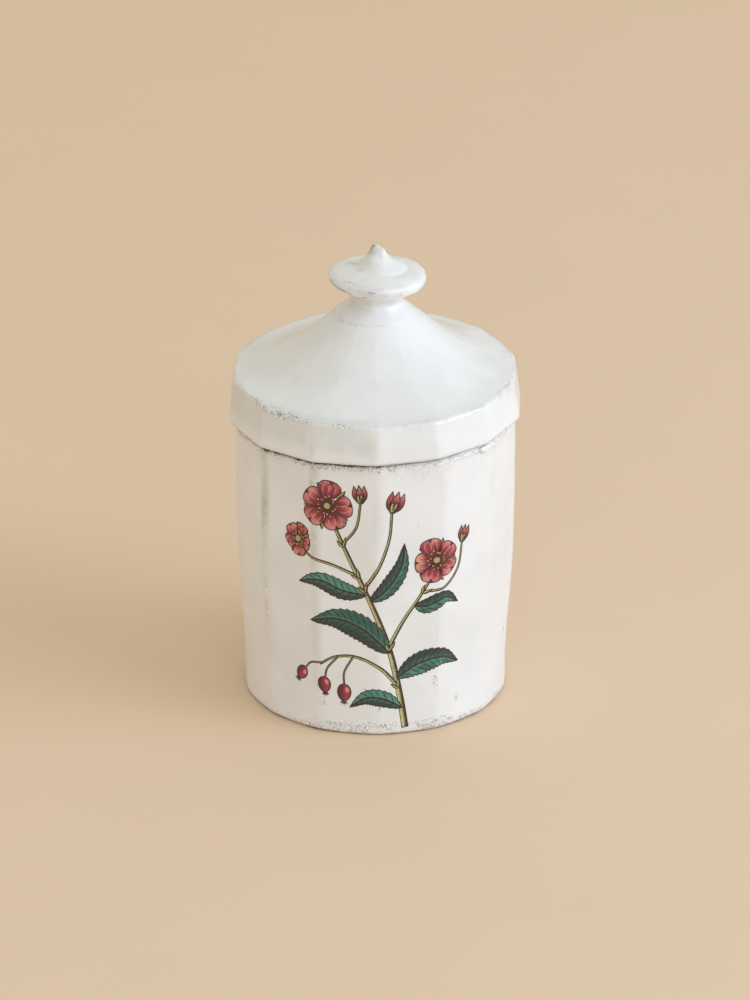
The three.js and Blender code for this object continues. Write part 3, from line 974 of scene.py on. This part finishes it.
def glaze(name, stains=(), faint=(), chips=(), ash=ASH):
    """Milky white glaze over dark clay, with pits, crawled edges and thin places. Its grey also paints shade
    on the knob, its clay brown the shadow of the gap under the lid, and its whiter crumb tops highlights.
    """
    shader = Shader(name)
    place = shader.position()
    worn, thin_and_shade, bare_and_gap_shadow, pooled = (shader.attribute(word) for word in WEAR_AND_SHADE)
    cloud = shader.noise(place, 16, detail=3)
    mottle = shader.noise(place, 3.2, detail=3, roughness=0.6)
    crumbs = shader.noise(place, 0.8, detail=2, roughness=0.6)
    patches = shader.noise(place, 4, detail=2, shift=5)
    streaks = shader.noise(place, 2.1, detail=4, roughness=0.7, shift=7)
    runs = shader.noise(place, 2.4, detail=1, shift=9)
    pebbles = shader.noise(place, 0.9, detail=2, roughness=0.6)
    grains = shader.noise(place, 0.65, detail=3, roughness=0.75, shift=15)
    # Faint smears add thin grey glaze, and grey painted as shade under the knob's disc and on its tip
    if faint:
        thin_and_shade = thin_and_shade.max(smeared(shader, place, faint))

    crumbled = worn * patches.ramp(0.33, 0.53)
    if chips:
        crumbled = crumbled.max(smeared(shader, place, chips))
    loose = crumbled.ramp(0.08, 0.45)
    flecks = grains.ramp(0.555, 0.64) * loose
    holes = specks(shader, place, 1.7, 0.34, crumbled * 0.35, 2)
    lone = specks(shader, place, 8, 0.4, 0.16, 3)
    clay_and_gap_shadow = (bare_and_gap_shadow + grains - 0.5 + (patches - 0.5) * 0.4).ramp(0.42, 0.58)

    body = shader.coats(
        WHITE,
        (MILK, cloud.ramp(0.35, 0.7)),
        # The grey of thin glaze, which on the knob also paints shade
        (ash, (thin_and_shade * (streaks * 1.3 + mottle * 0.4 - 0.15)).clamp() * 0.62),
        (ASH, loose * pebbles.ramp(0.48, 0.36) * 0.5),
        # The crumbs' tops whiter: thicker glaze and painted highlight
        (CREST, loose * pebbles.ramp(0.5, 0.62) * 0.9),
    )
    if stains:
        body = shader.blend(body, UMBER, smeared(shader, place, stains) * (streaks * 0.5 + 0.5))
    # Clay brown where the clay is bare, and as painted shadow of the gap under the lid's lip
    body = shader.coats(body, (ASH, lone * 0.12), (UMBER, flecks.max(holes) * 0.62), (CLAY_AND_GAP_SHADOW, clay_and_gap_shadow))

    height = cloud * 0.05 + mottle * 0.012 + crumbs * (crumbled * 0.2 + thin_and_shade * 0.04)
    height = height + (pebbles - 0.4) * crumbled * 0.75 + (runs - 0.5) * pooled * 1.1
    height = height - bare_and_gap_shadow * 0.35 - holes * 0.12 - flecks * 0.06 - lone * 0.06
    shader.set(
        base_color=body,
        roughness=(mottle * 0.1 + 0.27 + thin_and_shade * 0.1 + clay_and_gap_shadow * 0.5).clamp(),
        coat_weight=(0.35 + pooled * 0.65 - holes * 0.3 - thin_and_shade * 0.3).max(0) * (1 - clay_and_gap_shadow),
        coat_roughness=0.06,
        normal=shader.bump(height),
    )
    return shader.material


def flat_finish(name, colour, roughness):
    shader = Shader(name)
    place = shader.position()
    tone = shader.noise(place, 60, detail=3)
    darker = tuple(part * 0.97 for part in colour[:3]) + (1,)
    shader.set(base_color=shader.blend(colour, darker, tone), roughness=roughness)
    return shader.material


# The picture: a flowering branch

ENAMEL = 0.12
NOTCH_SHARPNESS = 6


class Blade(NamedTuple):
    """A shape of the picture: the line through its middle, half its width at a share of it, and its layer."""
    route: list
    half_width: object
    layer: float
    rows: int = 24
    cells: int = 8
    notch: float = 0
    tone: float = 0.5


def on_route(points, share):
    """A place on the smooth line through points, from the first, at 0, to the last, at 1."""
    last = len(points) - 1
    index = min(int(share * last), last - 1)
    step = share * last - index
    a, b = points[index], points[index + 1]
    before = points[index - 1] if index else a * 2 - b
    after = points[index + 2] if index + 2 <= last else b * 2 - a
    bend = (before * 2 - a * 5 + b * 4 - after) * step ** 2 + (a * 3 - before - b * 3 + after) * step ** 3
    return a + ((b - before) * step + bend) / 2


def draw_blade(blade, on_wall):
    """Lays one blade on the wall and stores where each of its points lies in the shape."""
    route = [Vector(place) for place in blade.route]
    length = sum((b - a).length for a, b in zip(route, route[1:]))
    deselect_all()
    bpy.ops.mesh.primitive_grid_add(x_subdivisions=blade.cells, y_subdivisions=blade.rows, size=2)
    piece = bpy.context.object
    flat, across, along, side = [], [], [], []
    for vertex in piece.data.vertices:
        share = (vertex.co.y + 1) / 2
        reach = share - blade.notch * share ** NOTCH_SHARPNESS * (1 - vertex.co.x ** 2)
        ahead = on_route(route, min(reach + 0.02, 1)) - on_route(route, max(reach - 0.02, 0))
        ahead.normalize()
        out = max(blade.half_width(share), 0.05) * vertex.co.x
        flat.append(on_route(route, reach) + Vector((ahead.y, -ahead.x)) * out)
        across.append(out)
        along.append(reach * length)
        side.append(vertex.co.x)
    rim = KDTree(len(flat))
    for index, vertex in enumerate(piece.data.vertices):
        if max(abs(vertex.co.x), abs(vertex.co.y)) > 0.999:
            rim.insert((*flat[index], 0), index)
    rim.balance()
    edge = [rim.find((*place, 0))[2] for place in flat]
    for vertex, place in zip(piece.data.vertices, flat):
        vertex.co = on_wall(place, blade.layer)
    share = [length and value / length for value in along]
    values = {"across": across, "along": along, "side": side, "edge": edge, "share": share}
    values["tone"] = [blade.tone] * len(flat)
    for name, numbers in values.items():
        piece.data.attributes.new(name, "FLOAT", "POINT").data.foreach_set("value", numbers)
    return piece


def draw_blades(name, blades, on_wall):
    """Draws blades as one piece of enamel, its underside sunk into the glaze."""
    picture = join([draw_blade(blade, on_wall) for blade in blades], name)
    bpy.ops.object.mode_set(mode="EDIT")
    bpy.ops.mesh.select_all(action="SELECT")
    bpy.ops.mesh.normals_make_consistent(inside=False)
    bpy.ops.object.mode_set(mode="OBJECT")
    apply_modifier(picture, "SOLIDIFY", thickness=ENAMEL * MM, offset=-1)
    return picture


def taper(start, end):
    return lambda share: mix(start, end, share)


def leaf_shape(width, teeth):
    """A pointed oval whose edge has teeth that lean towards its tip."""
    def half_width(share):
        tooth = share * teeth % 1
        return width * math.sin(math.pi * share ** 0.8) ** 0.85 * (0.86 + 0.14 * tooth)

    return half_width


def petal_shape(width):
    """Narrow at the base and broad and round at the end."""
    return lambda share: width * (0.34 + 0.66 * smooth(share, 0, 0.68)) * math.sqrt(1 - share ** 7)


def oval_shape(width):
    return lambda share: width * math.sqrt(max(1 - (2 * share - 1) ** 2, 0))


def spear_shape(width):
    return lambda share: width * math.sin(math.pi * share ** 0.6) ** 0.9


def towards(place, angle, distance, squash=1):
    """A place at a distance and an angle from another, in degrees from upright towards +X."""
    turn = math.radians(angle)
    return (place[0] + math.sin(turn) * distance * squash, place[1] + math.cos(turn) * distance)


BLOSSOMS = [((-15, 79), 8.6, 12, 0.94), ((19.5, 60), 8.0, -20, 0.88), ((-25, 66), 5.8, 30, 0.8)]
BUDS = [((5.4, 78.2), 18, 6.8), ((-4.4, 81.5), -6, 5.6), ((29, 64.5), 14, 5.2)]
STEMS = [
    ([(10, 2.5), (8.2, 14), (5.2, 28), (1, 41), (-4, 53), (-9, 64), (-13, 73)], 1.2, 0.6),
    ([(4.3, 31), (9, 40), (14, 47.5), (18, 54)], 0.75, 0.45),
    ([(7.6, 17), (1.5, 24), (-6, 27.5), (-13, 27), (-18, 24)], 0.7, 0.4),
    ([(-5.4, 56), (-13, 59), (-20, 61), (-24, 64)], 0.6, 0.4),
    ([(-3.4, 51.5), (1.5, 60), (4.4, 69), (5.2, 77.8)], 0.6, 0.45),
    ([(-10.2, 66.5), (-5.8, 72.5), (-4.4, 81)], 0.5, 0.4),
    ([(15.6, 49.5), (22.5, 50.2), (27.4, 55.5), (28.9, 64)], 0.5, 0.4),
    ([(-12, 27.2), (-15.5, 23), (-16.5, 19.5)], 0.4, 0.32),
    ([(-7, 27.6), (-10, 22), (-10.2, 17.5)], 0.4, 0.32),
    ([(-17, 24.6), (-21, 24), (-23.5, 21.5)], 0.4, 0.32),
]
LEAVES = [
    ([(5, 29), (-3, 37), (-12, 40.5), (-21, 39)], 4.9, 15),
    ([(7, 20), (14, 24), (22, 25.5), (29.5, 22)], 4.3, 14),
    ([(-2.6, 49.5), (-10, 50.5), (-18, 53.5), (-25, 51.5)], 3.5, 13),
    ([(-1.6, 47.5), (4, 52), (8.2, 59), (9.2, 67)], 3.3, 12),
    ([(12.5, 45), (17, 44.5), (23, 46.5), (28, 43.5)], 3.0, 11),
    ([(9, 9.5), (2.5, 13), (-3, 13.2), (-8.5, 9.5)], 3.2, 11),
]
BERRIES = [((-16.8, 17), 2.2, 175), ((-10.2, 14.8), 2.4, 182), ((-25, 19.4), 2.1, 212)]
BRACTS = [
    ((4.6, 30.5), 5), ((-3.2, 51), -22), ((-5.2, 55.6), -40), ((-10, 66), -15), ((7.4, 17), -30),
    ((15.4, 49.4), 45),
]


def leaf_blades():
    return [
        Blade(route, leaf_shape(width, teeth), 0.05 + 0.006 * index, 96, 12, tone=index % 3 / 2)
        for index, (route, width, teeth) in enumerate(LEAVES)
    ]


def petal_blades():
    blades = []
    for centre, radius, turn, squash in BLOSSOMS:
        for index, order in enumerate((0, 3, 1, 4, 2)):
            angle = turn + order * 72
            base, tip = towards(centre, angle, 0.9, squash), towards(centre, angle, radius, squash)
            bow = towards(centre, angle + (5 if order % 2 else -4), radius * 0.55, squash)
            width = petal_shape(radius * 0.46)
            blades.append(Blade([base, bow, tip], width, 0.08 + 0.012 * index, 36, 14, 0.16, index / 4))
    for place, angle, length in BUDS:
        for index, lean in enumerate((-17, 17, 0)):
            tip = towards(place, angle + lean, length)
            bow = towards(place, angle + lean * 1.6, length * 0.5)
            shape = spear_shape(length * 0.24)
            blades.append(Blade([place, bow, tip], shape, 0.08 + 0.012 * index, 28, 10, tone=index / 2))
    return blades


def stem_blades():
    blades = [
        Blade(route, taper(start, end), 0.03 + 0.003 * index, 12 * len(route), 6, tone=0.4)
        for index, (route, start, end) in enumerate(STEMS)
    ]
    for place, angle, length in BUDS:
        root = towards(place, angle, -0.9)
        for lean, reach, layer in ((-38, 0.62, 0.07), (38, 0.62, 0.07), (-14, 0.45, 0.13), (14, 0.45, 0.13)):
            bow = towards(place, angle + lean * 1.2, length * 0.3)
            tip = towards(place, angle + lean, length * reach)
            blades.append(Blade([root, bow, tip], spear_shape(0.75), layer, 18, 6, tone=0.2))
    for centre, radius, turn, squash in BLOSSOMS:
        for order in range(5):
            angle = turn + order * 72 + 36
            base = towards(centre, angle, radius * 0.5, squash)
            bow = towards(centre, angle + 3, radius * 0.75, squash)
            tip = towards(centre, angle, radius * 0.98, squash)
            blades.append(Blade([base, bow, tip], spear_shape(0.9), 0.06, 18, 6, tone=0.2))
    for place, angle in BRACTS:
        root = towards(place, angle, -0.6)
        for lean, length in ((-34, 2.6), (30, 3.2)):
            bow = towards(place, angle + lean * 1.3, length * 0.5)
            tip = towards(place, angle + lean, length)
            blades.append(Blade([root, bow, tip], spear_shape(0.62), 0.07, 14, 6, tone=0))
    return blades


def berry_blades():
    blades = []
    for place, width, angle in BERRIES:
        top = towards(place, angle + 180, width * 1.25)
        foot = towards(place, angle, width * 1.35)
        blades.append(Blade([top, place, foot], oval_shape(width), 0.07, 28, 12, tone=0.5))
    return blades


def crown_blades():
    """The small dark crowns at the ends of the berries."""
    blades = []
    for place, width, angle in BERRIES:
        foot = towards(place, angle, width * 1.2)
        for lean in (-42, -14, 14, 42):
            route = [towards(foot, angle + lean, reach) for reach in (0, 0.8, 1.7)]
            blades.append(Blade(route, spear_shape(0.4), 0.1, 10, 4, tone=0))
    return blades


def stamen_blades():
    blades = []
    for centre, radius, turn, squash in BLOSSOMS:
        heart = [towards(centre, 180, 1.1), centre, towards(centre, 0, 1.1)]
        blades.append(Blade(heart, oval_shape(1.15), 0.15, 14, 8, tone=0))
        for index in range(15):
            angle = turn + index * 24 + 5 * math.sin(index * 2.3)
            reach = radius * (0.3 + 0.07 * math.sin(index * 4.1 + radius))
            root, head = towards(centre, angle, 0.8, squash), towards(centre, angle, reach, squash)
            blades.append(Blade([root, head], taper(0.14, 0.12), 0.148, 6, 2, tone=1))
            anther = [towards(centre, angle, reach + out, squash) for out in (0, 0.43, 0.85)]
            blades.append(Blade(anther, oval_shape(0.42), 0.155, 8, 4, tone=0.6))
    return blades


INK = (0.034, 0.009, 0.011, 1)
CRIMSON = (0.37, 0.040, 0.068, 1)
WINE = (0.150, 0.016, 0.030, 1)
BLUSH = (0.74, 0.27, 0.24, 1)
HONEY = (0.80, 0.50, 0.24, 1)
TEAL = (0.026, 0.120, 0.094, 1)
PALE_TEAL = (0.085, 0.29, 0.22, 1)
BOTTLE = (0.022, 0.026, 0.024, 1)
OLIVE = (0.42, 0.40, 0.14, 1)
STRAW = (0.66, 0.60, 0.31, 1)
AMBER = (0.72, 0.33, 0.09, 1)


class Enamel(Shader):
    """A fired colour with an inked outline and engraved lines that follow each shape."""

    def __init__(self, name):
        super().__init__(name)
        self.place = self.position()
        for word in ("across", "along", "side", "edge", "share", "tone"):
            setattr(self, word, self.attribute(word))
        self.grain = self.noise(self.place, 0.5, detail=2)
        self.wash = self.noise(self.place, 3.0, detail=2, shift=11)

    def rough(self, value, amount):
        """A value broken up by the fine grain."""
        return value + (self.grain - 0.5) * amount

    def washed(self, value, amount):
        """A value that drifts with the wash."""
        return value + (self.wash - 0.5) * amount

    def outline(self, width):
        return self.rough(self.edge, 0.42).ramp(width + 0.07, width - 0.07)

    def lines(self, place, spacing, share):
        """Engraved lines, this far apart, each taking a share of the spacing."""
        wave = (place * (2 * math.pi / spacing) + self.grain * 1.3).sine() * 0.5 + 0.5
        return (wave - (1 - share)).ramp(-0.12, 0.12)

    def fire(self, body, width):
        self.set(
            base_color=self.blend(body, INK, self.outline(width) * 0.97),
            roughness=0.3,
            coat_weight=0.3,
            coat_roughness=0.08,
            normal=self.bump(self.wash * 0.02),
        )
        return self.material


def petal_enamel():
    shader = Enamel("petal_enamel")
    tips = (shader.washed(shader.share, 0.7) + shader.tone * 0.25).ramp(0.62, 1.02)
    shade = shader.share.ramp(0.66, 0.1) * 0.85 + (shader.tone - 0.5) * 0.8 * shader.side.ramp(0.4, -0.6)
    veins = shader.lines(shader.side, 0.27, 0.4) * shader.rough(shader.share, 0.5).ramp(0.98, 0.4)
    strokes = shader.lines(shader.side + 0.05, 0.4, 0.2) * shader.rough(shader.share, 0.4).ramp(0.62, 0.3)
    glints = shader.lines(shader.side + 0.1, 0.54, 0.14)
    glints = glints * shader.share.ramp(0.35, 0.6) * shader.share.ramp(1.0, 0.8)
    body = shader.coats(
        CRIMSON,
        (BLUSH, tips * 0.85),
        (HONEY, tips * shader.grain.ramp(0.45, 0.6) * shader.wash.ramp(0.5, 0.62) * 0.7),
        (WINE, shade.clamp()),
        (WINE, veins * 0.9),
        (INK, strokes * 0.75),
        (BLUSH, glints * 0.6),
    )
    return shader.fire(body, 0.34)


def leaf_enamel():
    shader = Enamel("leaf_enamel")
    away = abs(shader.across)
    lit = (shader.wash + (shader.tone - 0.5) * 0.25).ramp(0.38, 0.66) * shader.side.ramp(-0.9, 0.3)
    shade = shader.washed(shader.side * -1, 0.9).ramp(-0.15, 0.7)
    hatching = shader.lines(shader.along - away * 0.6, 0.62, 0.42)
    ribs = shader.lines(shader.along - away * 0.95, 2.3, 0.14) * shader.edge.ramp(0.15, 0.9)
    middle = shader.rough(away, 0.14).ramp(0.4, 0.24)
    beside = (shader.across - 0.62).max(shader.across * -1 + 0.62)
    body = shader.coats(
        TEAL,
        (PALE_TEAL, lit * 0.9),
        (BOTTLE, shade * (hatching * 0.4 + 0.6)),
        (BOTTLE, ribs * 0.9),
        (INK, middle * 0.95),
        (PALE_TEAL, beside.ramp(0.24, 0.08) * shader.share.ramp(0.05, 0.15) * 0.6),
    )
    return shader.fire(body, 0.36)


def stem_enamel():
    shader = Enamel("stem_enamel")
    strokes = shader.lines(shader.along + shader.across * 0.7, 0.9, 0.3) * shader.side.ramp(-0.5, 0.2)
    shade = shader.rough(shader.side, 0.9).ramp(0.05, 0.3)
    body = shader.coats(
        OLIVE,
        (STRAW, shader.side.ramp(0.1, -0.7) * 0.8),
        (PALE_TEAL, shader.wash.ramp(0.5, 0.7) * 0.45),
        (BOTTLE, strokes * 0.6),
        (INK, shade * 0.93),
    )
    return shader.fire(body, 0.27)


def berry_enamel():
    shader = Enamel("berry_enamel")
    strokes = shader.lines(shader.along + shader.across * 0.35, 0.62, 0.35) * shader.side.ramp(-0.5, 0.4)
    left, up = shader.side + 0.42, shader.share - 0.36
    spot = left * left * 6 + up * up * 22
    body = shader.coats(
        CRIMSON,
        (WINE, shader.washed(shader.side, 0.5).ramp(-0.1, 0.65) * 0.95),
        (INK, strokes * 0.7),
        (BLUSH, spot.ramp(0.75, 0.35) * 0.95),
    )
    return shader.fire(body, 0.36)


def stamen_enamel():
    shader = Enamel("stamen_enamel")
    body = shader.coats(OLIVE, (AMBER, shader.tone.ramp(0.1, 0.5)), (INK, shader.tone.ramp(0.85, 0.95)))
    return shader.fire(body, 0.16)


# The stage, the lamps and the camera


def make_floor():
    deselect_all()
    bpy.ops.mesh.primitive_plane_add(size=16)
    floor = bpy.context.object
    floor.name = "floor"
    floor.data.materials.append(flat_finish("pale_floor", (0.83, 0.63, 0.445, 1), 0.75))


LAMP_AIM = (0, 0, 70)


def area_lamp(name, angle, height, distance, size, power, colour):
    """A square lamp at an azimuth and elevation from the box, in degrees and metres."""
    turn, lift = math.radians(angle), math.radians(height)
    way = Vector((math.sin(turn) * math.cos(lift), -math.cos(turn) * math.cos(lift), math.sin(lift)))
    lamp = bpy.data.lights.new(name, "AREA")
    lamp.shape = "SQUARE"
    lamp.size = size
    lamp.energy = power
    lamp.color = colour
    holder = bpy.data.objects.new(name, lamp)
    holder.location = Vector(LAMP_AIM) * MM + way * distance
    holder.rotation_euler = way.to_track_quat("Z", "Y").to_euler()
    bpy.context.scene.collection.objects.link(holder)


def make_lights():
    """A large window on the right, weak ones in front and at the side, and the room's own warm light."""
    area_lamp("window", 68, 26, 2.2, 1.6, 25.2, (0.665, 0.79, 0.985))
    area_lamp("window_pane", 70, 22, 2.2, 0.4, 2.8, (0.7, 0.8, 1.0))
    area_lamp("side_window", 104, 2, 2.4, 1.2, 10.5, (0.53, 0.735, 1.0))
    area_lamp("front_window", 10, 18, 2.6, 1.6, 10.8, (0.47, 0.72, 1.0))
    world = bpy.data.worlds.new("studio")
    world.use_nodes = True
    room = world.node_tree.nodes["Background"].inputs
    room["Color"].default_value = (1.0, 0.955, 0.835, 1)
    room["Strength"].default_value = 0.68
    bpy.context.scene.world = world


def make_camera():
    pitch = math.radians(EYE_PITCH)
    forward = Vector((0, math.cos(pitch), -math.sin(pitch)))
    lens = bpy.data.cameras.new("eye")
    lens.lens = FOCAL_LENGTH
    lens.sensor_width = SENSOR
    lens.clip_end = 20
    eye = bpy.data.objects.new("eye", lens)
    eye.location = (Vector(EYE_TARGET) - forward * EYE_DISTANCE) * MM
    eye.rotation_euler = forward.to_track_quat("-Z", "Y").to_euler()
    bpy.context.scene.collection.objects.link(eye)
    bpy.context.scene.camera = eye


def finish_piece(piece, material, body, slot, *nodes):
    piece.data.materials.clear()
    piece.data.materials.append(material)
    make_active(piece)
    bpy.ops.object.shade_smooth()
    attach(piece, body)
    if nodes:
        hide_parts(*nodes)


def make_picture(jar):
    on_wall = wall_finder(jar)
    drawings = [
        ("picture_stems", stem_blades(), stem_enamel()),
        ("picture_leaves", leaf_blades(), leaf_enamel()),
        ("picture_petals", petal_blades(), petal_enamel()),
        ("picture_berries", berry_blades(), berry_enamel()),
        ("picture_crowns", crown_blades(), stem_enamel()),
        ("picture_stamens", stamen_blades(), stamen_enamel()),
    ]
    for name, blades, enamel in drawings:
        finish_piece(draw_blades(name, blades, on_wall), enamel, "jar", "picture_enamel")


make_camera()
make_lights()
make_floor()
glazed_jar = make_jar()
jar_glaze = glaze("jar_glaze", chips=chip_smears())
finish_piece(glazed_jar, jar_glaze, "jar", "white_glaze", "jar_wall", "jar_floor")
finish_piece(make_beads(glazed_jar), glaze("bead_glaze"), "jar", "white_glaze")
make_picture(glazed_jar)
lid_glaze = glaze("lid_glaze", ash=SMOKE)
finish_piece(make_lid(), lid_glaze, "lid", "white_glaze", "lid_cover", "lid_locating_ring")
knob_glaze = glaze("knob_glaze", STAINS, FAINT, ash=SMOKE)
finish_piece(make_knob(), knob_glaze, "lid", "white_glaze", "knob_collar", "knob_disc", "knob_finial")
bpy.context.scene.view_settings.view_transform = "Standard"
